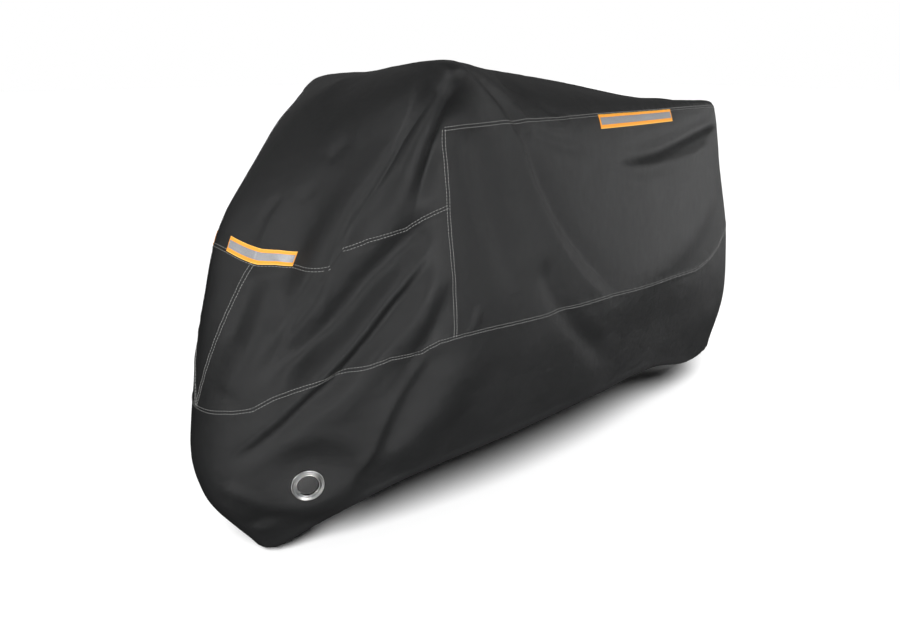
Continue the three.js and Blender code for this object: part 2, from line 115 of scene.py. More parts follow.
# %% Form table
FORM_ORIGIN = np.array([0.72285, 0.0, 0.0201])
COURSES = ("hem", "calf", "skirt", "belt", "shoulder", "brow", "ridge")
FOLLOWS_BAR = (0.0, 0.0, 0.0, 0.2, 0.6, 1.0, 1.0)
BAR_TURN = 0.2
BAR_DIP = 0.06
RIBS = (
    dict(name="nose", turned=0.0, hem=(-0.158, 0, 0.020), calf=(-0.275, 0, 0.212),
         skirt=(-0.271, 0, 0.425), belt=(-0.184, 0, 0.785), shoulder=(-0.066, 0, 0.950),
         brow=(0.032, 0, 1.052), ridge=(0.125, 0, 1.105)),
    dict(name="cheek", turned=0.3, hem=(-0.128, 0.050, 0.030), calf=(-0.252, 0.072, 0.225),
         skirt=(-0.240, 0.085, 0.432), belt=(-0.150, 0.078, 0.765), shoulder=(-0.034, 0.095, 0.950),
         brow=(0.060, 0.095, 1.056), ridge=(0.145, 0, 1.113)),
    dict(name="fork", turned=0.7, hem=(-0.060, 0.105, 0.084), calf=(-0.168, 0.135, 0.262),
         skirt=(-0.158, 0.152, 0.465), belt=(-0.075, 0.140, 0.750), shoulder=(0.038, 0.195, 0.962),
         brow=(0.118, 0.195, 1.080), ridge=(0.172, 0, 1.120)),
    dict(name="lamp", turned=0.9, hem=(0.020, 0.175, 0.150), calf=(-0.055, 0.200, 0.320),
         skirt=(-0.060, 0.215, 0.505), belt=(-0.015, 0.225, 0.770), shoulder=(0.120, 0.282, 0.990),
         brow=(0.182, 0.292, 1.112), ridge=(0.207, 0, 1.127)),
    dict(name="bar", turned=1.0, hem=(0.150, 0.235, 0.205), calf=(0.180, 0.290, 0.390),
         skirt=(0.205, 0.322, 0.570), belt=(0.190, 0.332, 0.868), shoulder=(0.205, 0.340, 1.024),
         brow=(0.238, 0.366, 1.128), ridge=(0.250, 0, 1.130)),
    dict(name="tank", turned=0.5, hem=(0.420, 0.280, 0.238), calf=(0.430, 0.312, 0.400),
         skirt=(0.440, 0.328, 0.568), belt=(0.435, 0.310, 0.830), shoulder=(0.435, 0.290, 1.018),
         brow=(0.450, 0.190, 1.122), ridge=(0.470, 0, 1.125)),
    dict(name="seat", turned=0.1, hem=(0.760, 0.280, 0.248), calf=(0.740, 0.300, 0.400),
         skirt=(0.720, 0.315, 0.558), belt=(0.740, 0.285, 0.800), shoulder=(0.768, 0.230, 1.016),
         brow=(0.780, 0.100, 1.090), ridge=(0.790, 0, 1.101)),
    dict(name="rack", turned=0.0, hem=(1.100, 0.230, 0.225), calf=(1.090, 0.245, 0.380),
         skirt=(1.080, 0.262, 0.535), belt=(1.090, 0.232, 0.780), shoulder=(1.100, 0.165, 1.012),
         brow=(1.110, 0.075, 1.047), ridge=(1.120, 0, 1.052)),
    dict(name="rear", turned=0.0, hem=(1.400, 0.175, 0.150), calf=(1.420, 0.195, 0.330),
         skirt=(1.430, 0.200, 0.520), belt=(1.425, 0.172, 0.770), shoulder=(1.400, 0.115, 1.010),
         brow=(1.405, 0.055, 1.020), ridge=(1.410, 0, 1.023)),
    dict(name="corner", turned=0.0, hem=(1.590, 0.135, 0.160), calf=(1.632, 0.149, 0.350),
         skirt=(1.612, 0.142, 0.585), belt=(1.586, 0.110, 0.790), shoulder=(1.546, 0.084, 1.002),
         brow=(1.532, 0.040, 1.007), ridge=(1.530, 0, 1.008)),
    dict(name="tail", turned=0.0, hem=(1.680, 0, 0.170), calf=(1.731, 0, 0.350),
         skirt=(1.710, 0, 0.600), belt=(1.665, 0, 0.800), shoulder=(1.631, 0, 0.950),
         brow=(1.592, 0, 0.988), ridge=(1.565, 0, 1.000)),
)
LEFT, RIGHT = -1, 1
BOTH = {"left": LEFT, "right": RIGHT}
NOSE, TAIL = 0, len(RIBS) - 1
BAR = [rib["name"] for rib in RIBS].index("bar")
HEM, CALF, SKIRT, BELT, SHOULDER, BROW, RIDGE = range(len(COURSES))
print(len(RIBS), "ribs and", len(COURSES), "courses")


# %% Control net of each side
def side_net(side):
    """The table as points, with the turn of the bar."""
    net = np.array([[rib[course] for course in COURSES] for rib in RIBS], float)
    follow = np.outer([rib["turned"] for rib in RIBS], FOLLOWS_BAR)
    net[..., 1] *= side
    net[..., 0] += BAR_TURN * net[..., 1] * follow
    net[..., 2] -= BAR_DIP * net[..., 1] * follow
    return net - FORM_ORIGIN


def extended(side):
    """The net with one more rib and course on each end, so that the curves pass the middle smoothly."""
    mine, other = side_net(side), side_net(-side)
    ribs = np.concatenate([other[1:2], mine, other[-2:-1]])
    opposite = np.concatenate([mine[1:2], other, mine[-2:-1]])
    below_hem = 2 * ribs[:, :1] - ribs[:, 1:2]
    return np.concatenate([below_hem, ribs, opposite[:, -2:-1]], axis=1)


NETS = {side: extended(side) for side in BOTH.values()}
print("control nets of", NETS[LEFT].shape)

# %% [markdown]
# ## From the net to a smooth surface
#
# A Catmull-Rom curve passes through its control points, so the numbers in the table are places on the
# cloth itself. The same weights work along the ribs and up the courses. Everything after this asks one
# function, form, for a place on the cloth from a rib number and a course number, fractions included.


# %% Curves
def smooth(t):
    """0 before, 1 after, and an easy turn between."""
    t = np.clip(t, 0.0, 1.0)
    return t * t * (3 - 2 * t)


def one_shape(rib, course):
    """Both as arrays of one shape."""
    return np.broadcast_arrays(np.asarray(rib, float), np.asarray(course, float))


def curve_weights(t):
    return np.stack([
        (-t + 2 * t**2 - t**3) / 2,
        (2 - 5 * t**2 + 3 * t**3) / 2,
        (t + 4 * t**2 - 3 * t**3) / 2,
        (t**3 - t**2) / 2,
    ], axis=-1)


def unit(vectors):
    return vectors / np.maximum(np.linalg.norm(vectors, axis=-1, keepdims=True), 1e-12)


# %% The bare form
PLEAT_BEFORE, PLEAT_AFTER = 2.9, 3.02
SHIFT_REACH = 0.6
SEAM_SHIFTS = {
    SKIRT: ((1.0, 0.02), (1.6, -0.02), (2.0, 0.02), (2.9, 0.03), (3.3, 0.01), (3.5, 0.02), (3.72, -0.06),
            (3.86, 0.0), (4.6, -0.02), (5.3, -0.04), (6.0, -0.02), (7.6, -0.05), (8.0, 0.02), (8.5, 0.1)),
    BELT: ((0.4, -0.02), (1.24, -0.04), (1.6, -0.02), (2.0, -0.02), (2.5, -0.05),
           (PLEAT_BEFORE, -0.07), (PLEAT_AFTER, 0.06), (3.3, 0.02), (3.64, -0.09), (4.0, -0.02),
           (4.4, 0.0)),
    SHOULDER: ((3.6, 0.0), (4.0, -0.1), (4.4, -0.06), (4.8, 0.0), (6.0, 0.02), (8.0, 0.0)),
}


def seam_shift(rib, course):
    """The seams don't quite keep to their courses, and the belt steps where the long pleat crosses it."""
    shift = 0.0
    for seam, places in SEAM_SHIFTS.items():
        ribs, shifts = zip(*places)
        nearness = np.clip(1 - np.abs(course - seam) / SHIFT_REACH, 0, 1)
        shift = shift + np.interp(rib, ribs, shifts) * nearness
    return shift


def form(side, rib, course):
    """Places on the cloth without its folds."""
    rib, course = one_shape(rib, course)
    moved = course + seam_shift(rib, course)
    i = np.clip(np.floor(rib).astype(int), NOSE, TAIL - 1)
    j = np.clip(np.floor(moved).astype(int), HEM, RIDGE - 1)
    along, upward = curve_weights(rib - i), curve_weights(moved - j)
    place = np.zeros(rib.shape + (3,))
    for a in range(4):
        for b in range(4):
            place += (along[..., a] * upward[..., b])[..., None] * NETS[side][i + a, j + b]
    return place


# %% Slopes and normals
STEP = 1e-3


def slopes(side, rib, course, surface=form):
    """How far the surface goes for one rib and for one course."""
    rib, course = one_shape(rib, course)
    back, front = np.clip(rib - STEP, NOSE, TAIL), np.clip(rib + STEP, NOSE, TAIL)
    low, high = np.clip(course - STEP, HEM, RIDGE), np.clip(course + STEP, HEM, RIDGE)
    along = (surface(side, front, course) - surface(side, back, course)) / (front - back)[..., None]
    upward = (surface(side, rib, high) - surface(side, rib, low)) / (high - low)[..., None]
    return along, upward


def outward(side, rib, course, surface=form):
    along, upward = slopes(side, rib, course, surface)
    return unit(np.cross(along, upward)) * -side


print("the bar's left end is at", form(LEFT, BAR, BROW).round(3))
print("the cloth under it faces", outward(LEFT, BAR, BELT).round(2))

# %% [markdown]
# ## Folds
#
# Loose cloth under its own weight folds along lines that run from where it is held to where it hangs
# free. Each fold below is one such line, over rib and course numbers. rise is its height, below zero for
# a trough. before and after are its half widths, towards the nose and the tail on a path that runs down,
# so a fold can be steep on one side and easy on the other. crease is 2 for a round fold and less for a
# sharp one, and fades gives the shares of the path over which it grows and dies away. The right side
# has the same folds, weaker and a little shifted, so the sides aren't copies.


# %% Fold tables
def fold(name, rise, before, path, after=None, crease=2.0, right=0.8, shift=0.0, fades=(0.2, 0.25)):
    return dict(name=name, rise=rise, before=before, after=after or before, crease=crease,
                right=right, shift=shift, fades=fades, path=path)


MAIN_FOLDS = (
    fold("long pleat", rise=-0.008, before=0.009, after=0.011, crease=1.3, shift=0.1, fades=(0.1, 0.3),
         path=[(3.78, 4.66), (3.25, 4.1), (3.08, 3.6), (2.98, 3.2), (2.75, 2.88), (2.48, 2.68),
               (1.95, 2.4), (1.62, 2.23)]),
    fold("ridge before the pleat", rise=0.016, before=0.055, after=0.036, right=0.9, shift=0.1,
         path=[(3.7, 4.6), (3.08, 4.08), (2.8, 3.62), (2.62, 3.15), (2.2, 2.73), (1.65, 2.38),
               (1.2, 2.12)]),
    fold("wedge behind the pleat", rise=0.008, before=0.034, after=0.018, fades=(0.12, 0.3),
         path=[(3.87, 4.6), (3.83, 4.3), (3.74, 3.93), (3.6, 3.6), (3.54, 3.28), (3.44, 3.0)]),
    fold("crease under the bar", rise=-0.016, before=0.016, after=0.028, crease=1.5, right=0.9,
         fades=(0.5, 0.3),
         path=[(3.9, 4.6), (3.93, 4.12), (3.84, 3.73), (3.76, 3.33), (3.68, 3.05)]),
    fold("broad trough", rise=-0.027, before=0.036, right=0.7, shift=-0.1,
         path=[(3.95, 3.1), (3.68, 2.9), (3.48, 2.75), (3.33, 2.65), (3.0, 2.43), (2.3, 2.25),
               (1.73, 2.15)]),
    fold("ridge over the wheel trough", rise=0.013, before=0.028, after=0.014, right=0.9, shift=0.1,
         path=[(3.85, 2.78), (3.58, 2.55), (3.3, 2.3), (3.0, 2.07), (2.75, 1.95), (2.23, 1.8),
               (1.65, 1.68), (1.1, 1.55)]),
    fold("wheel trough", rise=-0.014, before=0.014, after=0.028, crease=1.5, right=0.9, shift=0.1,
         path=[(3.95, 2.8), (3.68, 2.56), (3.48, 2.38), (3.3, 2.19), (3.12, 2.0), (2.93, 1.88),
               (2.43, 1.72), (1.78, 1.56), (0.98, 1.4)]),
    fold("ridge over the wheel", rise=0.012, before=0.022, after=0.045,
         path=[(3.97, 2.65), (3.75, 2.4), (3.58, 2.2), (3.33, 1.98), (3.08, 1.7), (2.62, 1.5)]),
    fold("trough before the side seam", rise=-0.008, before=0.020, after=0.026,
         path=[(3.98, 2.5), (3.88, 2.27), (3.78, 2.13), (3.7, 2.0), (3.6, 1.6), (3.42, 1.1)]),
    fold("skirt ridge", rise=0.009, before=0.018, after=0.014, crease=1.6, right=0.7, shift=0.1,
         path=[(3.78, 2.05), (3.68, 1.78), (3.55, 1.35), (3.43, 0.83), (3.23, 0.55), (2.78, 0.12)]),
    fold("hollow behind the skirt ridge", rise=-0.007, before=0.030, right=0.7, shift=0.1,
         path=[(3.9, 1.95), (3.78, 1.65), (3.65, 1.07), (3.45, 0.5)]),
    fold("hem swell", rise=0.008, before=0.055, right=0.9, shift=0.2,
         path=[(4.12, 1.88), (4.08, 1.1), (3.88, 0.78), (3.5, 0.3)]),
    fold("corner at the nose seam", rise=0.012, before=0.034, crease=1.0, right=1.0, fades=(0.5, 0.5),
         path=[(1.2, 3.45), (1.16, 3.2), (1.15, 3.0), (0.98, 2.85), (0.8, 2.7)]),
    fold("nose hollow", rise=-0.010, before=0.016, after=0.028,
         path=[(1.24, 3.0), (1.2, 2.85), (1.12, 2.7), (1.0, 2.55), (0.8, 2.42)]),
    fold("swell beside the nose hollow", rise=0.009, before=0.032,
         path=[(1.6, 2.95), (1.5, 2.73), (1.4, 2.45), (1.1, 2.23), (0.95, 2.1)]),
    fold("swell over the front hem", rise=0.006, before=0.020,
         path=[(0.95, 1.2), (1.2, 1.07), (1.45, 0.93), (1.75, 0.55)]),
    fold("hollow at the front hem", rise=-0.008, before=0.022,
         path=[(0.95, 0.4), (1.3, 0.5), (1.7, 0.45), (2.0, 0.3)]),
    fold("tank trough", rise=-0.012, before=0.044, right=0.9, shift=0.2,
         path=[(4.3, 4.2), (4.38, 3.8), (4.45, 3.6), (4.5, 3.08), (4.58, 2.78), (4.67, 2.53),
               (4.75, 2.2)]),
    fold("crease from the bar to the seat", rise=-0.008, before=0.010, after=0.018, crease=1.5, right=0.7,
         shift=0.3,
         path=[(4.1, 4.95), (4.5, 4.7), (4.78, 4.38), (4.93, 4.05), (5.0, 3.8)]),
    fold("long rear trough", rise=-0.007, before=0.013, after=0.036, crease=1.5, right=0.7, shift=0.3,
         path=[(4.93, 4.1), (5.03, 3.8), (5.12, 3.45), (5.25, 3.15), (5.38, 2.9), (5.62, 2.6),
               (5.98, 2.27), (6.3, 1.9)]),
    fold("ridge before the rear trough", rise=0.004, before=0.032, after=0.012, crease=1.7, right=0.7,
         shift=0.3,
         path=[(4.9, 3.9), (5.0, 3.6), (5.18, 3.05), (5.43, 2.65), (5.7, 2.33), (5.96, 2.1), (6.3, 1.6)]),
    fold("crown ridge", rise=0.006, before=0.018, after=0.024, crease=1.7,
         path=[(4.6, 4.8), (4.9, 4.42), (5.05, 4.1), (5.12, 3.93), (5.3, 3.75)]),
    fold("crown trough", rise=-0.005, before=0.012, after=0.026, crease=1.6,
         path=[(4.9, 4.7), (5.05, 4.58), (5.23, 4.4), (5.45, 4.1), (5.65, 3.95)]),
    fold("trough under the top seam", rise=-0.006, before=0.026, after=0.012, crease=1.6,
         path=[(5.1, 3.93), (5.25, 3.78), (5.4, 3.7), (5.6, 3.63), (5.85, 3.55)]),
    fold("low rear trough", rise=-0.012, before=0.036, after=0.030, shift=0.2,
         path=[(5.12, 2.6), (5.3, 2.25), (5.55, 1.85), (5.88, 1.2), (6.25, 0.4)]),
    fold("tail fold", rise=-0.014, before=0.014, after=0.034, right=0.5, shift=-0.9,
         path=[(6.1, 3.44), (6.68, 3.45), (7.03, 3.48), (7.45, 3.55), (7.88, 3.62), (8.5, 3.68),
               (8.9, 3.7)]),
    fold("ridge under the tail fold", rise=0.007, before=0.032, after=0.012, right=0.5, shift=-0.9,
         path=[(6.1, 3.36), (6.68, 3.33), (7.0, 3.34), (7.5, 3.38), (7.98, 3.45), (8.5, 3.5)]),
    fold("tail swell", rise=0.010, before=0.070, right=0.5, shift=-0.6,
         path=[(6.1, 2.0), (6.7, 2.15), (7.1, 2.3), (7.5, 2.5), (7.9, 2.8), (8.3, 3.15)]),
)
SMALL_FOLDS = (
    fold("short crease over the strip", rise=-0.005, before=0.009, crease=1.4,
         path=[(1.12, 3.62), (0.98, 3.35), (1.12, 3.1)]),
    fold("small ridge at the side seam", rise=0.004, before=0.010,
         path=[(4.28, 2.23), (4.23, 2.12), (4.17, 2.0)]),
    fold("dent on the hood", rise=-0.003, before=0.014,
         path=[(1.9, 4.3), (1.75, 4.1), (1.6, 4.0)]),
    fold("lower dent on the hood", rise=-0.003, before=0.012,
         path=[(1.75, 3.75), (1.6, 3.62), (1.45, 3.55)]),
)
print(len(MAIN_FOLDS), "main folds and", len(SMALL_FOLDS), "small ones")

# %% Fold lines on the form
PATH_STEPS = 5
FOLD_REACH = 3.0


def fold_line(fold, side):
    """A fold's path as a smooth line of places on the form."""
    path = np.array(fold["path"], float)
    if side == RIGHT:
        path[:, 0] += fold["shift"]
    ends = np.vstack([2 * path[0] - path[1], path, 2 * path[-1] - path[-2]])
    steps = [np.sum(curve_weights(np.array(k / PATH_STEPS))[:, None] * ends[n:n + 4], axis=0)
             for n in range(len(path) - 1) for k in range(PATH_STEPS)]
    numbers = np.clip(np.vstack([steps, path[-1:]]), (NOSE, HEM), (TAIL, RIDGE))
    return form(side, numbers[:, 0], numbers[:, 1])


FOLD_LINES = []
for each in MAIN_FOLDS + SMALL_FOLDS:
    for side in BOTH.values():
        height = each["rise"] * (each["right"] if side == RIGHT else 1.0)
        FOLD_LINES.append(dict(each, side=side, line=fold_line(each, side), height=height))
print(len(FOLD_LINES), "fold lines")


# %% Fold height
def nearest_on_line(line, spots, normals):
    """Distance to a line, how far along it that is from 0 to 1, and on which hand."""
    best, along, hand = np.full(len(spots), np.inf), np.zeros(len(spots)), np.zeros(len(spots))
    for k, (start, end) in enumerate(zip(line[:-1], line[1:])):
        way = end - start
        t = np.clip((spots - start) @ way / (way @ way), 0, 1)
        offset = spots - start - t[:, None] * way
        distance = np.linalg.norm(offset, axis=1)
        closer = distance < best
        best[closer] = distance[closer]
        along[closer] = (k + t[closer]) / (len(line) - 1)
        hand[closer] = np.einsum("ij,ij->i", np.cross(normals[closer], way), offset[closer])
    return best, along, hand


def fold_height(place, normal):
    """Height of all folds over places on the form."""
    height = np.zeros(len(place))
    for each in FOLD_LINES:
        reach = FOLD_REACH * max(each["before"], each["after"])
        low, high = each["line"].min(0) - reach, each["line"].max(0) + reach
        near = np.flatnonzero(np.all((place > low) & (place < high), axis=1))
        if len(near) == 0:
            continue
        distance, along, hand = nearest_on_line(each["line"], place[near], normal[near])
        width = np.where(hand * each["side"] < 0, each["after"], each["before"])
        fades_in, fades_out = each["fades"]
        fades = smooth(along / fades_in) * smooth((1 - along) / fades_out)
        height[near] += each["height"] * fades * np.exp(-((distance / width) ** each["crease"]))
    return height


# %% [markdown]
# ## Seams, hem and eyelet seats in the surface
#
# A lapped seam is three layers thick, so the cloth stands about a millimetre proud there, with a fine
# groove between the two rows of stitches, and the thread puckers it a little. The elastic cord draws the
# hem into small gathers at the nose and the tail. Round each eyelet the cloth is clamped flat between two
# flanges. Over everything else the cloth is never quite even, so a soft noise is added.

# %% Seam lines
NOSE_POINT = 1.15
FAR = 1.0


def seam_distance(side, rib, course):
    """How far each place is from the nearest seam, and from the hem, in metres."""
    along, upward = slopes(side, rib, course)
    per_rib, per_course = np.linalg.norm(along, axis=-1), np.linalg.norm(upward, axis=-1)
    belt = np.where(rib <= BAR, np.abs(course - BELT) * per_course, FAR)
    skirt = np.abs(course - SKIRT) * per_course
    top = np.where(rib >= BAR, np.abs(course - SHOULDER) * per_course, FAR)
    between = (course >= SKIRT) & (course <= SHOULDER)
    upright = np.where(between, np.abs(rib - BAR) * per_rib, FAR)
    tail = np.where(between, np.abs(rib - TAIL) * per_rib, FAR)
    slanted = np.abs(rib - NOSE_POINT * (course - SKIRT)) * per_rib
    slanted = np.where((course >= SKIRT) & (course <= BELT), slanted, FAR)
    return np.minimum.reduce([belt, skirt, top, upright, tail, slanted]), course * per_course


# %% Small relief
EDGE_SOFTNESS = 0.003
SEAM_WELT, WELT_WIDTH = 0.0009, 0.0065
SEAM_GROOVE, GROOVE_WIDTH = 0.0008, 0.0022
PUCKER, PUCKER_WIDTH, PUCKER_PITCH, PUCKER_LEAN = 0.0005, 0.022, 0.031, 0.6
HEM_FOLD_WIDTH, HEM_FOLD_RISE = 0.020, 0.0007
GATHER, GATHER_WIDTH = 0.0007, 0.07
GATHER_WAVES, SMALLER_WAVES, SMALLER_SHARE = 134, 85, 0.6
NOSE_DRAWN_TO, NOSE_DRAWN_OVER = 3.4, 1.2
TAIL_DRAWN_FROM, TAIL_DRAWN_OVER = 7.8, 1.0
UNEVEN, UNEVEN_SIZE = 0.0011, 0.085
CRUMPLE, CRUMPLE_SIZE = 0.0004, 0.024

hem_ribs = np.linspace(NOSE, TAIL, 200)
hem_steps = np.linalg.norm(np.diff(form(LEFT, hem_ribs, HEM), axis=0), axis=1)
hem_lengths = np.concatenate([[0], np.cumsum(hem_steps)])
print("the hem is", round(2 * hem_lengths[-1], 3), "m round")


def gathers(side, rib, over_hem):
    """Small waves at the hem, where the elastic cord draws it in most, at the nose and the tail."""
    drawn = smooth((NOSE_DRAWN_TO - rib) / NOSE_DRAWN_OVER)
    drawn = drawn + smooth((rib - TAIL_DRAWN_FROM) / TAIL_DRAWN_OVER)
    turn = side * math.pi * np.interp(rib, hem_ribs, hem_lengths) / hem_lengths[-1]
    waves = np.sin(GATHER_WAVES * turn) + SMALLER_SHARE * np.sin(SMALLER_WAVES * turn + 1)
    return GATHER * drawn * waves * smooth(1 - over_hem / GATHER_WIDTH)


def unevenness(place):
    """A soft noise, the same for the same place."""
    large = [noise.noise(Vector(p) / UNEVEN_SIZE) for p in place]
    small = [noise.noise(Vector(p) / CRUMPLE_SIZE) for p in place]
    return UNEVEN * np.array(large) + CRUMPLE * np.array(small)


def relief(side, rib, course, place):
    seam, over_hem = seam_distance(side, rib, course)
    welt = SEAM_WELT * smooth((WELT_WIDTH - seam) / EDGE_SOFTNESS)
    groove = SEAM_GROOVE * smooth(1 - seam / GROOVE_WIDTH)
    waves = np.sin(2 * math.pi * (place[:, 0] + PUCKER_LEAN * place[:, 2]) / PUCKER_PITCH)
    pucker = PUCKER * waves * smooth(1 - seam / PUCKER_WIDTH)
    hem_fold = HEM_FOLD_RISE * smooth((HEM_FOLD_WIDTH - over_hem) / EDGE_SOFTNESS)
    return welt - groove + pucker + hem_fold + gathers(side, rib, over_hem)


# %% The finished cloth
EYELET_RIB, EYELET_COURSE = 2.53, 0.7
EYELET_FACES_UP = 0.0
FLAT_ROUND_EYELET, FLAT_FADES_BY = 0.044, 0.150
SEATS = {}
for name, side in BOTH.items():
    axis = outward(side, EYELET_RIB, EYELET_COURSE)
    axis[2] = EYELET_FACES_UP
    SEATS[name] = dict(centre=form(side, EYELET_RIB, EYELET_COURSE), axis=unit(axis))
print("eyelets at", [seat["centre"].round(4) for seat in SEATS.values()])


def cloth(side, rib, course):
    """Places on the finished cloth: the form with its folds, seams and hem, flat round the eyelets."""
    rib, course = one_shape(rib, course)
    shape = rib.shape
    rib, course = rib.ravel(), course.ravel()
    place, normal = form(side, rib, course), outward(side, rib, course)
    height = fold_height(place, normal) + relief(side, rib, course, place) + unevenness(place)
    point = place + normal * height[:, None]
    for seat in SEATS.values():
        offset = point - seat["centre"]
        away = (np.linalg.norm(offset, axis=1) - FLAT_ROUND_EYELET) / (FLAT_FADES_BY - FLAT_ROUND_EYELET)
        point -= (offset @ seat["axis"] * (1 - smooth(away)))[:, None] * seat["axis"]
    return point.reshape(shape + (3,))


# %% [markdown]
# ## Cutting the panels
#
# Each panel is a patch of the surface between two ribs and two courses, in cells of about 7 mm, with a
# few closer lines beside the seams. Solidify then gives the cloth its thickness, inwards, so the outside
# stays where the form says. At the hem the cloth turns under, round the elastic cord, and goes a little
# way up inside.

# %% Lines of the grid
CELL = 0.007
SAMPLES = 9
MEASURED_COURSE, MEASURED_RIB = 2.6, 5.0
OVER_HEM, UNDER_SKIRT, OVER_SKIRT = 0.12, 1.982, 2.012
UNDER_BELT, OVER_BELT, UNDER_SHOULDER, OVER_SHOULDER = 2.988, 3.018, 3.982, 4.02
BESIDE_BAR, BESIDE_END = 0.012, 0.03


def stops(values, measure):
    """Lines through all the values, with cells of about one size between them."""
    lines = [values[0]]
    for a, b in zip(values[:-1], values[1:]):
        samples = measure(np.linspace(a, b, SAMPLES))
        length = np.linalg.norm(np.diff(samples, axis=0), axis=1).sum()
        count = max(1, round(length / CELL))
        lines += list(np.linspace(a, b, count + 1)[1:])
    return np.array(lines)


def ribs_between(*values):
    return stops(values, lambda rib: form(LEFT, rib, MEASURED_COURSE))


def courses_between(*values):
    return stops(values, lambda course: form(LEFT, MEASURED_RIB, course))


NOSE_RIBS = ribs_between(NOSE, NOSE_POINT)
FRONT_RIBS = ribs_between(NOSE_POINT, NOSE_POINT + BESIDE_END, 2, 3, BAR - BESIDE_BAR, BAR)
REAR_RIBS = ribs_between(BAR, BAR + BESIDE_BAR, 5, 6, 7, 8, 9, TAIL - BESIDE_END, TAIL)
SKIRT_COURSES = courses_between(HEM, OVER_HEM, CALF, UNDER_SKIRT, SKIRT)
SIDE_COURSES = courses_between(SKIRT, OVER_SKIRT, UNDER_BELT, BELT)
UPPER_COURSES = courses_between(BELT, OVER_BELT, UNDER_SHOULDER, SHOULDER)
CROWN_COURSES = courses_between(SHOULDER, OVER_SHOULDER, BROW, RIDGE)
print("ribs", len(NOSE_RIBS), len(FRONT_RIBS), len(REAR_RIBS))
print("courses", len(SKIRT_COURSES), len(SIDE_COURSES), len(UPPER_COURSES), len(CROWN_COURSES))


# %% Patches
def leaning(rib, course):
    """In front of the bar the ribs lean forward under the belt, and the first follows the nose seam."""
    seam = NOSE_POINT * (course - SKIRT)
    return seam + (rib - NOSE_POINT) * (BAR - seam) / (BAR - NOSE_POINT)


def patch(ribs, courses, lean=None):
    rib, course = np.meshgrid(ribs, courses)
    return (rib if lean is None else lean(rib, course)), course


def nose_patch():
    share, course = np.meshgrid(NOSE_RIBS / NOSE_POINT, SIDE_COURSES)
    return share * NOSE_POINT * (course - SKIRT), course


above_belt = np.concatenate([UPPER_COURSES, CROWN_COURSES[1:]])
front_of_bar = np.concatenate([NOSE_RIBS, FRONT_RIBS[1:]])
behind_bar = np.concatenate([SIDE_COURSES, UPPER_COURSES[1:]])
crown_patches = (patch(front_of_bar, above_belt), patch(REAR_RIBS, CROWN_COURSES))
skirt_patches = (patch(FRONT_RIBS, SKIRT_COURSES, lambda rib, course: leaning(rib, SKIRT)),
                 patch(REAR_RIBS, SKIRT_COURSES))
front_side_patch = patch(FRONT_RIBS, SIDE_COURSES, leaning)
rear_side_patch = patch(REAR_RIBS, behind_bar)
print("the crown has patches of", [rib.shape for rib, course in crown_patches])

# %% Hem turned under
HEM_RADIUS, HEM_TURN_UP = 0.0032, 0.016
JUST_OVER_HEM = 0.004
HEM_ANGLES = np.radians((180, 150, 120, 90, 60, 30))


def turned_under(side, rib, spots):
    """Rows that carry the cloth round under the hem and a little way up inside."""
    out = outward(side, rib[0], np.full(rib.shape[1], JUST_OVER_HEM), cloth)
    down = spots[0] - spots[1]
    down = unit(down - np.sum(down * out, axis=-1, keepdims=True) * out)
    bend = [spots[0] + HEM_RADIUS * (math.sin(a) * down - (1 - math.cos(a)) * out) for a in HEM_ANGLES]
    return np.concatenate([[bend[0] - HEM_TURN_UP * down], bend, spots])


# %% Sheets of cloth
def lengths_along(points, axis):
    steps = np.linalg.norm(np.diff(points, axis=axis), axis=-1)
    start = np.zeros_like(np.take(steps, [0], axis=axis))
    return np.concatenate([start, np.cumsum(steps, axis=axis)], axis=axis)


def grid_faces(side, rows, columns):
    """Faces of a grid of points, turned outwards."""
    numbers = np.arange(rows * columns).reshape(rows, columns)
    corners = [numbers[:-1, :-1], numbers[:-1, 1:], numbers[1:, 1:], numbers[1:, :-1]]
    return np.stack(corners if side == LEFT else corners[::-1], axis=-1).reshape(-1, 4)


def weave_of(points):
    """Each point's place in the weave, in metres along both threads."""
    return np.stack([lengths_along(points, 1), lengths_along(points, 0)], axis=-1).reshape(-1, 2)


def add_mesh(name, points, edges, faces):
    mesh = bpy.data.meshes.new(name)
    mesh.from_pydata(points, edges, faces)
    return add_object(name, mesh)


def add_woven(name, points, faces, weave):
    """A mesh whose faces know their place in the weave."""
    thing = add_mesh(name, points.tolist(), [], faces.tolist())
    layer = thing.data.uv_layers.new(name="weave")
    layer.data.foreach_set("uv", weave[faces.ravel()].astype(np.float32).ravel())
    return thing


def choose(thing):
    """Nothing else stays selected, because an operator acts on all that is."""
    bpy.ops.object.select_all(action="DESELECT")
    thing.select_set(True)
    bpy.context.view_layer.objects.active = thing


# %% Sewing patches into one sheet
WELD = 0.0004
CREASE_ANGLE = math.radians(50)


def sheet_of_cloth(name, pieces):
    """One welded sheet from several patches, each with its side."""
    points, faces, weave, start = [], [], [], 0
    for side, (rib, course) in pieces:
        spots = cloth(side, rib, course)
        if course[0, 0] == HEM:
            spots = turned_under(side, rib, spots)
        points.append(spots.reshape(-1, 3))
        faces.append(grid_faces(side, *spots.shape[:2]) + start)
        weave.append(weave_of(spots))
        start += len(points[-1])
    thing = add_woven(name, np.vstack(points), np.vstack(faces), np.vstack(weave))
    choose(thing)
    bpy.ops.object.mode_set(mode="EDIT")
    bpy.ops.mesh.select_all(action="SELECT")
    bpy.ops.mesh.remove_doubles(threshold=WELD)
    bpy.ops.object.mode_set(mode="OBJECT")
    return thing


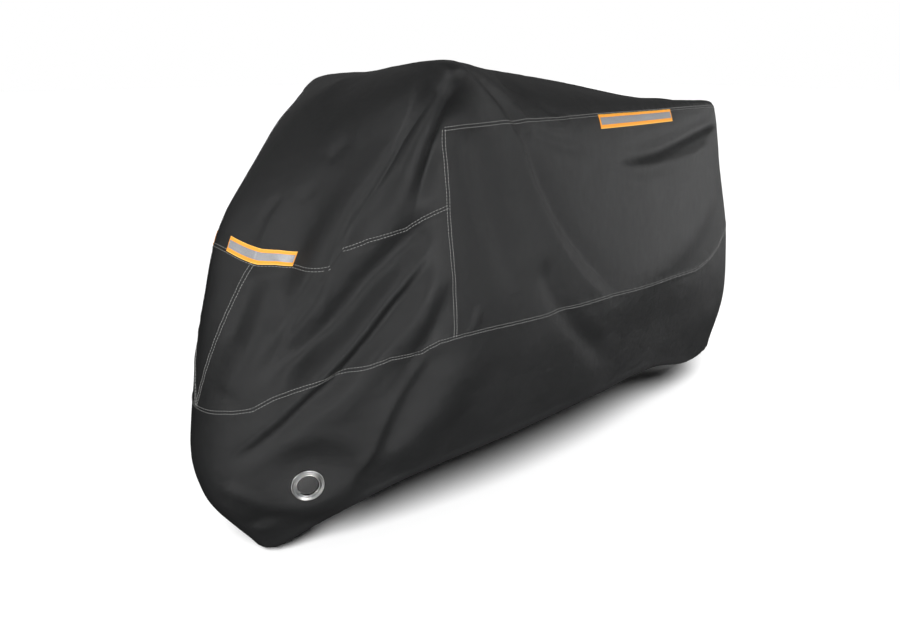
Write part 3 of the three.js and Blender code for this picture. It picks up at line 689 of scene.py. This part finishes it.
# %% Cloth panels
CUT = {
    "crown": [(side, each) for side in BOTH.values() for each in crown_patches],
    "nose": [(side, nose_patch()) for side in BOTH.values()],
    "skirt": [(side, each) for side in BOTH.values() for each in skirt_patches],
    "front_side_cloth_left": [(LEFT, front_side_patch)],
    "front_side_cloth_right": [(RIGHT, front_side_patch)],
    "rear_side_cloth_left": [(LEFT, rear_side_patch)],
    "rear_side_cloth_right": [(RIGHT, rear_side_patch)],
}
panels = {name: sheet_of_cloth(name, pieces) for name, pieces in CUT.items()}

# %% [markdown]
# ## Holes for the eyelets
#
# An eyelet is pressed through a punched hole, and its flanges hide the hole's edge. A Boolean cut would
# leave thin slivers in the shading. Here the faces inside the hole go, and the ragged edge that is left
# is drawn in to a neat circle under the flange.

# %% Punching the holes
HOLE_RADIUS = 0.0257
CLEARED_RADIUS = 0.031


def punch(thing, seat):
    centre, axis = Vector(seat["centre"]), Vector(seat["axis"])

    def from_axis(point):
        offset = point - centre
        return offset - offset.dot(axis) * axis

    mesh = bmesh.new()
    mesh.from_mesh(thing.data)
    inside = [v for v in mesh.verts
              if (v.co - centre).length < 2 * CLEARED_RADIUS and from_axis(v.co).length < CLEARED_RADIUS]
    bmesh.ops.delete(mesh, geom=inside, context="VERTS")
    edge = [v for v in mesh.verts if v.is_boundary and (v.co - centre).length < 2 * CLEARED_RADIUS]
    for v in edge:
        across = from_axis(v.co)
        v.co += across.normalized() * (HOLE_RADIUS - across.length)
    mesh.to_mesh(thing.data)
    mesh.free()
    return len(edge)


for name, seat in SEATS.items():
    print("the", name, "hole has", punch(panels["skirt"], seat), "points on its edge")


# %% Thickness
CLOTH_THICKNESS = 0.0012


def apply_modifier(thing, kind, **settings):
    """The modifier is added with its settings and applied at once."""
    choose(thing)
    modifier = thing.modifiers.new(kind, kind)
    for name, value in settings.items():
        setattr(modifier, name, value)
    bpy.ops.object.modifier_apply(modifier=modifier.name)


def give_thickness(thing, thickness):
    apply_modifier(thing, "SOLIDIFY", thickness=thickness, offset=-1, use_quality_normals=True)
    bpy.ops.object.shade_smooth_by_angle(angle=CREASE_ANGLE)
    return thing


def triangles_of(thing):
    return sum(len(face.vertices) - 2 for face in thing.data.polygons)


for name, thing in panels.items():
    give_thickness(thing, CLOTH_THICKNESS)
    print(name, "has", triangles_of(thing), "triangles")

# %% [markdown]
# ## Stitches
#
# Both rows of each seam are lockstitch in a light thread, about 5.5 mm a stitch. From two metres away
# they read as two thin pale lines. One stitch is modelled, a short thread that dives into the cloth at
# both ends, and is then laid along every row, each stitch turned to lie on the cloth.

# %% One stitch
STITCH_LENGTH, STITCH_PITCH = 0.0056, 0.0072
THREAD_RADIUS = 0.0004
STITCH_SIDES = 6
STRAIGHT, BENT, DIVE, END_SIZE = 0.6, 0.2, 0.8, 0.55
FACES_THE_END = 0.9


def one_stitch():
    """A thread along X, straight in the middle and bent down into the cloth at both ends."""
    bpy.ops.object.select_all(action="DESELECT")
    bpy.ops.mesh.primitive_cylinder_add(vertices=STITCH_SIDES, radius=THREAD_RADIUS,
                                        depth=STRAIGHT * STITCH_LENGTH, rotation=(0, math.pi / 2, 0))
    thread = bpy.context.object
    bpy.ops.object.transform_apply(location=True, rotation=True, scale=True)
    for way in (-1, 1):
        bpy.ops.object.mode_set(mode="EDIT")
        bpy.ops.mesh.select_mode(type="FACE")
        bpy.ops.mesh.select_all(action="DESELECT")
        bpy.ops.object.mode_set(mode="OBJECT")
        for face in thread.data.polygons:
            face.select = face.normal.x * way > FACES_THE_END
        bpy.ops.object.mode_set(mode="EDIT")
        bpy.ops.mesh.extrude_region_move(TRANSFORM_OT_translate={
            "value": (way * BENT * STITCH_LENGTH, 0, -DIVE * THREAD_RADIUS)})
        bpy.ops.transform.resize(value=(1, END_SIZE, END_SIZE))
        bpy.ops.object.mode_set(mode="OBJECT")
    points = np.array([v.co[:] for v in thread.data.vertices])
    faces = [list(face.vertices) for face in thread.data.polygons]
    bpy.data.objects.remove(thread)
    return points, faces


STITCH_POINTS, STITCH_FACES = one_stitch()
print("one stitch has", len(STITCH_POINTS), "points and", len(STITCH_FACES), "faces")

# %% Rows beside a seam
ROW_OFFSET = 0.0033
ROW_SAMPLES = 260


def seam_row(side, start, end, offset):
    """A row beside the seam from start to end, both (rib, course): places and directions of stitches."""
    share = np.linspace(0, 1, ROW_SAMPLES)
    rib, course = (start[k] + (end[k] - start[k]) * share for k in (0, 1))
    along, upward = slopes(side, rib, course)
    way = unit(np.gradient(form(side, rib, course), axis=0))
    across = np.cross(outward(side, rib, course), way) * offset
    aa, uu, au = (np.sum(p * q, axis=-1) for p, q in ((along, along), (upward, upward), (along, upward)))
    a, u = np.sum(along * across, axis=-1), np.sum(upward * across, axis=-1)
    spread = aa * uu - au * au
    rib = np.clip(rib + (uu * a - au * u) / spread, NOSE, TAIL)
    course = np.clip(course + (aa * u - au * a) / spread, HEM, RIDGE)
    places = cloth(side, rib, course)
    length = lengths_along(places, 0)
    count = max(int(length[-1] / STITCH_PITCH), 1)
    spots = (np.arange(count) + 0.5) * length[-1] / count
    rib, course = np.interp(spots, length, rib), np.interp(spots, length, course)
    ways = np.gradient(places, axis=0)
    middle = np.stack([np.interp(spots, length, places[:, k]) for k in range(3)], axis=-1)
    direction = np.stack([np.interp(spots, length, ways[:, k]) for k in range(3)], axis=-1)
    return middle, unit(direction), outward(side, rib, course, cloth)


# %% Laying stitches
PROUD = 0.0001


def lay_stitches(name, rows, lift=PROUD):
    """All stitches of some rows as one piece."""
    middles, ways, ups = (np.vstack(part) for part in zip(*rows))
    sides = unit(np.cross(ups, ways))
    ups = unit(np.cross(ways, sides))
    frames = np.stack([ways, sides, ups], axis=1)
    points = np.einsum("pk,nkj->npj", STITCH_POINTS, frames) + (middles + lift * ups)[:, None]
    count = len(STITCH_POINTS)
    faces = [[corner + n * count for corner in face] for n in range(len(middles)) for face in STITCH_FACES]
    thing = add_mesh(name, points.reshape(-1, 3).tolist(), [], faces)
    choose(thing)
    bpy.ops.object.shade_smooth_by_angle(angle=CREASE_ANGLE)
    print(name, "has", len(middles), "stitches")
    return thing


SEAMS = {
    "belt": [((NOSE, BELT), (PLEAT_BEFORE, BELT)), ((PLEAT_AFTER, BELT), (BAR, BELT))],
    "skirt_seam": [((NOSE, SKIRT), (BAR, SKIRT)), ((BAR, SKIRT), (TAIL, SKIRT))],
    "top_seam": [((BAR, SHOULDER), (TAIL, SHOULDER))],
    "upright_seam": [((BAR, SKIRT), (BAR, SHOULDER))],
    "nose_seam": [((NOSE, SKIRT), (NOSE_POINT, BELT))],
}
stitches = []
for seam, runs in SEAMS.items():
    for hand, side in BOTH.items():
        rows = [seam_row(side, *run, offset) for run in runs for offset in (-ROW_OFFSET, ROW_OFFSET)]
        stitches.append(lay_stitches("stitches_" + seam + "_" + hand, rows))
tail_rows = [seam_row(side, (TAIL, SKIRT), (TAIL, SHOULDER), -side * ROW_OFFSET) for side in BOTH.values()]
stitches.append(lay_stitches("stitches_tail_seam", tail_rows))

# %% [markdown]
# ## Reflective strips
#
# Each strip is a woven orange ribbon with a silver band of glass beads along its middle, sewn down along
# both edges. The ribbon follows the cloth, so it is cut from the same surface and lifted by its own
# thickness. The band is a second, thinner layer on it.

# %% Ribbons
STRIPS = {"front": dict(ribs=(0.42, 2.0), courses=(3.0, 3.115)),
          "rear": dict(ribs=(6.0, 7.3), courses=(3.8, 4.0))}
STRIP_STEPS, STRIP_ROWS = 70, 14
RIBBON_LIFT, RIBBON_THICKNESS = 0.0010, 0.0007
BAND_LIFT, BAND_THICKNESS = 0.0013, 0.0003
BAND_EDGE, BAND_END = 0.24, 0.012
SEWN_AT = (0.09, 0.91)


def ribbon(name, side, strip, lift, thickness, edge=0.0, end=0.0):
    (rib_a, rib_b), (low, high) = strip["ribs"], strip["courses"]
    ribs = rib_a + (rib_b - rib_a) * np.linspace(end, 1 - end, STRIP_STEPS)
    courses = low + (high - low) * np.linspace(edge, 1 - edge, STRIP_ROWS)
    rib, course = np.meshgrid(ribs, courses)
    spots = cloth(side, rib, course) + lift * outward(side, rib, course)
    share = np.meshgrid(lengths_along(spots[0], 0), np.linspace(0, 1, STRIP_ROWS))
    thing = add_woven(name, spots.reshape(-1, 3), grid_faces(side, *spots.shape[:2]),
                      np.stack(share, axis=-1).reshape(-1, 2))
    return give_thickness(thing, thickness)


ribbons, bands, ribbon_stitches = {}, {}, []
for place, strip in STRIPS.items():
    for hand, side in BOTH.items():
        node = "strip_" + place + "_" + hand
        ribbons[node] = ribbon(node + "_ribbon", side, strip, RIBBON_LIFT, RIBBON_THICKNESS)
        bands[node] = ribbon(node + "_band", side, strip, BAND_LIFT, BAND_THICKNESS, BAND_EDGE, BAND_END)
        (rib_a, rib_b), (low, high) = strip["ribs"], strip["courses"]
        sewn = [low + share * (high - low) for share in SEWN_AT]
        rows = [seam_row(side, (rib_a, course), (rib_b, course), 0) for course in sewn]
        ribbon_stitches.append(lay_stitches("stitches_" + node, rows, RIBBON_LIFT + PROUD))

# %% [markdown]
# ## Eyelets
#
# A pressed eyelet is two plated rings: the front one has a rolled rim, a dip and a raised lip round the
# hole, and its barrel goes through the cloth and is spread over the washer behind. It is turned from one
# profile, which Spin does, and a bevel softens the pressed edges.

# %% Turning an eyelet
EYELET_STEPS = 96
PRESSED_EDGE = 0.0007
EYELET_PROFILE = (
    (24.0, -3.8), (36.8, -3.8), (36.8, -2.4), (25.4, -2.4), (25.4, 0.3), (38.6, 0.2), (39.0, 0.6),
    (39.0, 1.7), (38.2, 2.7), (36.8, 3.2), (35.2, 3.0), (33.6, 2.3), (32.0, 1.9), (30.4, 2.1),
    (28.8, 3.0), (27.2, 3.6), (25.6, 3.4), (24.5, 2.6), (24.0, 1.5),
)


def turned_eyelet(name, seat):
    """The profile is in millimetres, as radius and height over the cloth."""
    profile = [(radius / 1000, 0, height / 1000) for radius, height in EYELET_PROFILE]
    loop = [(n, (n + 1) % len(profile)) for n in range(len(profile))]
    thing = add_mesh(name, profile, loop, [])
    choose(thing)
    bpy.ops.object.mode_set(mode="EDIT")
    bpy.ops.mesh.select_all(action="SELECT")
    bpy.ops.mesh.spin(steps=EYELET_STEPS, angle=2 * math.pi, center=(0, 0, 0), axis=(0, 0, 1))
    bpy.ops.mesh.select_all(action="SELECT")
    bpy.ops.mesh.remove_doubles(threshold=0.00001)
    bpy.ops.mesh.normals_make_consistent(inside=False)
    bpy.ops.object.mode_set(mode="OBJECT")
    apply_modifier(thing, "BEVEL", width=PRESSED_EDGE, segments=3, limit_method="ANGLE",
                   angle_limit=CREASE_ANGLE)
    turn = Vector((0, 0, 1)).rotation_difference(Vector(seat["axis"])).to_matrix().to_4x4()
    turn.translation = Vector(seat["centre"])
    thing.data.transform(turn)
    bpy.ops.object.shade_smooth_by_angle(angle=CREASE_ANGLE)
    return thing


eyelets = {name: turned_eyelet("lock_eyelet_" + name, seat) for name, seat in SEATS.items()}
print("an eyelet has", triangles_of(eyelets["left"]), "triangles")

# %% [markdown]
# ## Finishes
#
# Shader maths is easier to read as maths. The small class below stands for one value in a material, and
# its operators add the Math nodes. Any other node comes from its node method.


# %% Values in a shader
class Value:
    def __init__(self, tree, socket=None):
        self.tree = tree
        self.socket = socket

    def node(self, kind, settings=(), inputs=(), output=0):
        made = self.tree.nodes.new(kind)
        for name, value in dict(settings).items():
            setattr(made, name, value)
        for name, value in dict(inputs).items():
            if isinstance(value, Value):
                self.tree.links.new(value.socket, made.inputs[name])
            else:
                made.inputs[name].default_value = value
        return Value(self.tree, made.outputs[output])

    def maths(self, operation, *values):
        return self.node("ShaderNodeMath", {"operation": operation}, enumerate(values))

    def __add__(self, other):
        return self.maths("ADD", self, other)

    def __sub__(self, other):
        return self.maths("SUBTRACT", self, other)

    def __mul__(self, other):
        return self.maths("MULTIPLY", self, other)

    def __rsub__(self, other):
        return self.maths("SUBTRACT", other, self)

    __radd__ = __add__
    __rmul__ = __mul__

    def sine(self):
        return self.maths("SINE", self)

    def between(self, low, high):
        """0 below low, 1 above high."""
        return self.node("ShaderNodeMapRange", {"interpolation_type": "SMOOTHSTEP"},
                         {"Value": self, "From Min": low, "From Max": high})


SOFT_STEP, FIRM_STEP = (0.3, 0.7), (0.35, 0.65)
SOCKETS = {"roughness": "Roughness", "metallic": "Metallic", "specular_ior_level": "Specular IOR Level"}
MIX_FACTOR, MIX_LOW, MIX_HIGH, MIX_RESULT = 0, 6, 7, 2


class Finish:
    """A material with one Principled shader."""

    def __init__(self, name, **sockets):
        self.material = bpy.data.materials.new(name)
        self.material.use_nodes = True
        self.tree = self.material.node_tree
        self.shader = self.tree.nodes["Principled BSDF"]
        for socket, value in sockets.items():
            self.shader.inputs[SOCKETS[socket]].default_value = value
        self.start = Value(self.tree)

    def feed(self, socket, value):
        self.tree.links.new(value.socket, self.shader.inputs[socket])

    def place(self):
        return self.start.node("ShaderNodeTexCoord", output="Object")

    def uv(self):
        """Place in the piece's own map, as two values."""
        mapped = self.start.node("ShaderNodeUVMap", {"uv_map": "weave"})
        split = self.start.node("ShaderNodeSeparateXYZ", (), {"Vector": mapped})
        nodes = split.socket.node
        return Value(self.tree, nodes.outputs["X"]), Value(self.tree, nodes.outputs["Y"])

    def noise(self, size, detail=2.0):
        return self.start.node("ShaderNodeTexNoise", (), {
            "Vector": self.place(), "Scale": 1 / size, "Detail": detail})

    def mixed(self, share, low, high):
        """A colour between two others."""
        return self.start.node("ShaderNodeMix", {"data_type": "RGBA"}, {
            MIX_FACTOR: share, MIX_LOW: (*low, 1), MIX_HIGH: (*high, 1)}, MIX_RESULT)

    def bump(self, height, depth, under=None):
        inputs = {"Height": height, "Distance": depth, "Strength": 1.0}
        if under is not None:
            inputs["Normal"] = under
        return self.start.node("ShaderNodeBump", (), inputs)


# %% Coated cloth
THREAD_PITCH = 0.0007
CLOTH_DARK = (0.0088, 0.0090, 0.0092)
CLOTH_LIGHT = (0.0118, 0.0120, 0.0123)
PATCHES, SPECKS = 0.7, 0.3


def cloth_finish():
    """Charcoal polyester: a plain weave under a thin coat, with a soft sheen and faint crumples."""
    made = Finish("charcoal cloth", roughness=0.48, specular_ior_level=0.24)
    across, up = made.uv()
    turn = 2 * math.pi / THREAD_PITCH
    weave = (across * turn).sine() * (up * turn).sine()
    crumples = made.noise(size=0.030, detail=3.0)
    patches = made.noise(size=0.20)
    specks = made.noise(size=0.0016, detail=1.0)
    shade = (patches * PATCHES + specks * SPECKS).between(*SOFT_STEP)
    made.feed("Base Color", made.mixed(shade, low=CLOTH_DARK, high=CLOTH_LIGHT))
    made.feed("Roughness", 0.43 + 0.1 * patches + 0.04 * weave)
    folds = made.bump(crumples, depth=0.0012)
    made.feed("Normal", made.bump(weave, depth=0.00006, under=folds))
    return made.material


charcoal = cloth_finish()

# %% Thread, ribbon, band and metal
# THREAD_PAINTED_SHADE is the share of the thread colour left in the painted shade between strands.
THREAD_COLOUR, THREAD_PAINTED_SHADE = (0.38, 0.38, 0.37), 0.72
RIBBON_EDGE_STARTS, RIBBON_EDGE_FULL, RIBBON_WEAVE = 0.455, 0.475, 0.0012
DIAMOND, DIAMOND_LEAN = 0.005, 18


def thread_finish(name, colour):
    """Twisted thread, with painted shade between its strands: the colour is darker where the bump is low.
    """
    made = Finish(name, roughness=0.6)
    shade = made.noise(size=0.0011).between(*SOFT_STEP)
    # Painted shade: the noise that lowers the bump also darkens the colour there.
    made.feed("Base Color", made.mixed(shade, low=[THREAD_PAINTED_SHADE * c for c in colour], high=colour))
    made.feed("Normal", made.bump(shade, depth=0.0001))
    return made.material


def ribbon_finish():
    """Orange ribbon, lighter along its two edges, with the ribs of its weave across it."""
    made = Finish("orange ribbon", roughness=0.55)
    along, across = made.uv()
    edge = (across - 0.5).maths("ABSOLUTE", across - 0.5).between(RIBBON_EDGE_STARTS, RIBBON_EDGE_FULL)
    ribs = (along * (2 * math.pi / RIBBON_WEAVE)).sine()
    made.feed("Base Color", made.mixed(edge, low=(0.85, 0.32, 0.015), high=(1.0, 0.56, 0.10)))
    made.feed("Roughness", 0.5 + 0.08 * made.noise(size=0.004))
    made.feed("Normal", made.bump(ribs, depth=0.00008))
    return made.material


def band_finish():
    """Silver band of glass beads, pressed with small diamonds."""
    made = Finish("silver band", metallic=0.15, roughness=0.38)
    along, across = made.uv()
    waves, lean = along * (2 * math.pi / DIAMOND), across * DIAMOND_LEAN
    diamonds = (waves + lean).sine() * (waves - lean).sine()
    grain = made.noise(size=0.0012)
    shade = grain.between(*FIRM_STEP)
    made.feed("Base Color", made.mixed(shade, low=(0.20, 0.20, 0.21), high=(0.27, 0.27, 0.28)))
    made.feed("Roughness", 0.34 + 0.12 * grain)
    made.feed("Normal", made.bump(diamonds, depth=0.0001))
    return made.material


def metal_finish():
    """Nickel, rubbed brighter in places."""
    made = Finish("nickel", metallic=1.0, roughness=0.2)
    rubs = made.noise(size=0.006, detail=3.0)
    shade = rubs.between(*FIRM_STEP)
    made.feed("Base Color", made.mixed(shade, low=(0.13, 0.13, 0.13), high=(0.22, 0.22, 0.21)))
    made.feed("Roughness", 0.14 + 0.16 * rubs)
    made.feed("Normal", made.bump(made.noise(size=0.0025), depth=0.00004))
    return made.material


light_thread = thread_finish("light thread", THREAD_COLOUR)
orange_thread = thread_finish("orange thread", (0.90, 0.42, 0.06))
orange_ribbon, silver_band, nickel = ribbon_finish(), band_finish(), metal_finish()
print("finishes:", [material.name for material in bpy.data.materials])

# %% [markdown]
# ## Putting it on the frame
#
# Each panel stands for the CAD solid of the same piece. The skirt is one band here, and stands for three
# solids.


# %% Pieces, finishes and nodes
def fit(thing, material, nodes=()):
    thing.data.materials.clear()
    thing.data.materials.append(material)
    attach(thing, BODY)
    if nodes:
        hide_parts(*nodes)


STANDS_FOR = {
    "crown": ["crown_panel"], "nose": ["nose_panel"],
    "skirt": ["skirt_front", "skirt_left", "skirt_right"],
    "front_side_cloth_left": ["front_side_left"], "front_side_cloth_right": ["front_side_right"],
    "rear_side_cloth_left": ["rear_side_left"], "rear_side_cloth_right": ["rear_side_right"],
}
for name, nodes in STANDS_FOR.items():
    fit(panels[name], charcoal, nodes)
for node, thing in ribbons.items():
    fit(thing, orange_ribbon, [node])
    fit(bands[node], silver_band)
for name, thing in eyelets.items():
    fit(thing, nickel, ["eyelet_" + name])
for thing in stitches:
    fit(thing, light_thread)
for thing in ribbon_stitches:
    fit(thing, orange_thread)
print("all nodes are replaced")

# %% [markdown]
# ## Floor and light
#
# Dark cloth shows its folds by what it reflects, so it gets many soft lamps and no bright surround. The
# strongest stands a little to the left of the camera, and two shine up from low in front, as white cards
# do. Others light the long side and the tail from the right, the nose from the left, and the far side
# from behind.
#
# The floor has lamps of its own, steep and from above, that make it white and leave it dark under the
# cover. Light linking keeps the two apart, and lets the low lamps pass the floor. The white surround is
# for the camera alone, and the floor sends no light back, or both would wash the folds out.

# %% Floor
GROUND = -0.0201
FLOOR_SIZE = 60
bpy.ops.object.select_all(action="DESELECT")
bpy.ops.mesh.primitive_plane_add(size=FLOOR_SIZE, location=(0, 0, GROUND))
floor = bpy.context.object
floor.name = "floor"
bpy.ops.object.transform_apply(location=True, rotation=True, scale=True)
pale = Finish("pale floor", roughness=0.9, specular_ior_level=0.1)
grain = pale.noise(size=0.9, detail=3.0)
pale.feed("Base Color", pale.mixed(grain, low=(0.88, 0.88, 0.88), high=(0.92, 0.92, 0.92)))
floor.data.materials.append(pale.material)
floor.visible_diffuse = floor.visible_glossy = False

# %% Surround
world = bpy.data.worlds.new("studio")
bpy.context.scene.world = world
world.use_nodes = True
background = world.node_tree.nodes["Background"]
background.inputs["Color"].default_value = (1, 1, 1, 1)
world.cycles_visibility.diffuse = world.cycles_visibility.glossy = False
bpy.context.scene.view_settings.view_transform = "Standard"


# %% Lights
on_floor = bpy.data.collections.new("lit with the floor")
on_cover = bpy.data.collections.new("lit with the cover")
on_floor.objects.link(floor)
for thing in bpy.context.scene.objects:
    if thing.type == "MESH" and thing != floor:
        on_cover.objects.link(thing)


def soft_sun(name, heading, elevation, strength, spread, lights=on_cover):
    """A sun that shines on some things, from a heading and an elevation."""
    lamp = bpy.data.lights.new(name, "SUN")
    lamp.energy = strength
    lamp.angle = math.radians(spread)
    thing = add_object(name, lamp)
    thing.rotation_euler = pointing(heading, elevation).to_track_quat("Z", "Y").to_euler()
    thing.light_linking.receiver_collection = lights
    thing.light_linking.blocker_collection = on_cover


soft_sun("floor lamp", heading=228, elevation=42, strength=5.0, spread=25, lights=on_floor)
soft_sun("floor fill", heading=0, elevation=90, strength=0.7, spread=90, lights=on_floor)
soft_sun("dome", heading=0, elevation=90, strength=0.72, spread=170)
soft_sun("front lamp", heading=207, elevation=11, strength=2.6, spread=16)
soft_sun("card low in front", heading=238, elevation=-24, strength=0.85, spread=22)
soft_sun("card under the bar", heading=256, elevation=-14, strength=1.9, spread=10)
soft_sun("side lamp", heading=306, elevation=2, strength=0.75, spread=25)
soft_sun("tail lamp", heading=340, elevation=2, strength=0.6, spread=30)
soft_sun("nose lamp", heading=170, elevation=12, strength=0.4, spread=30)
soft_sun("far lamp", heading=140, elevation=40, strength=0.25, spread=40)
soft_sun("lamp on the far side", heading=62, elevation=-14, strength=1.5, spread=30)
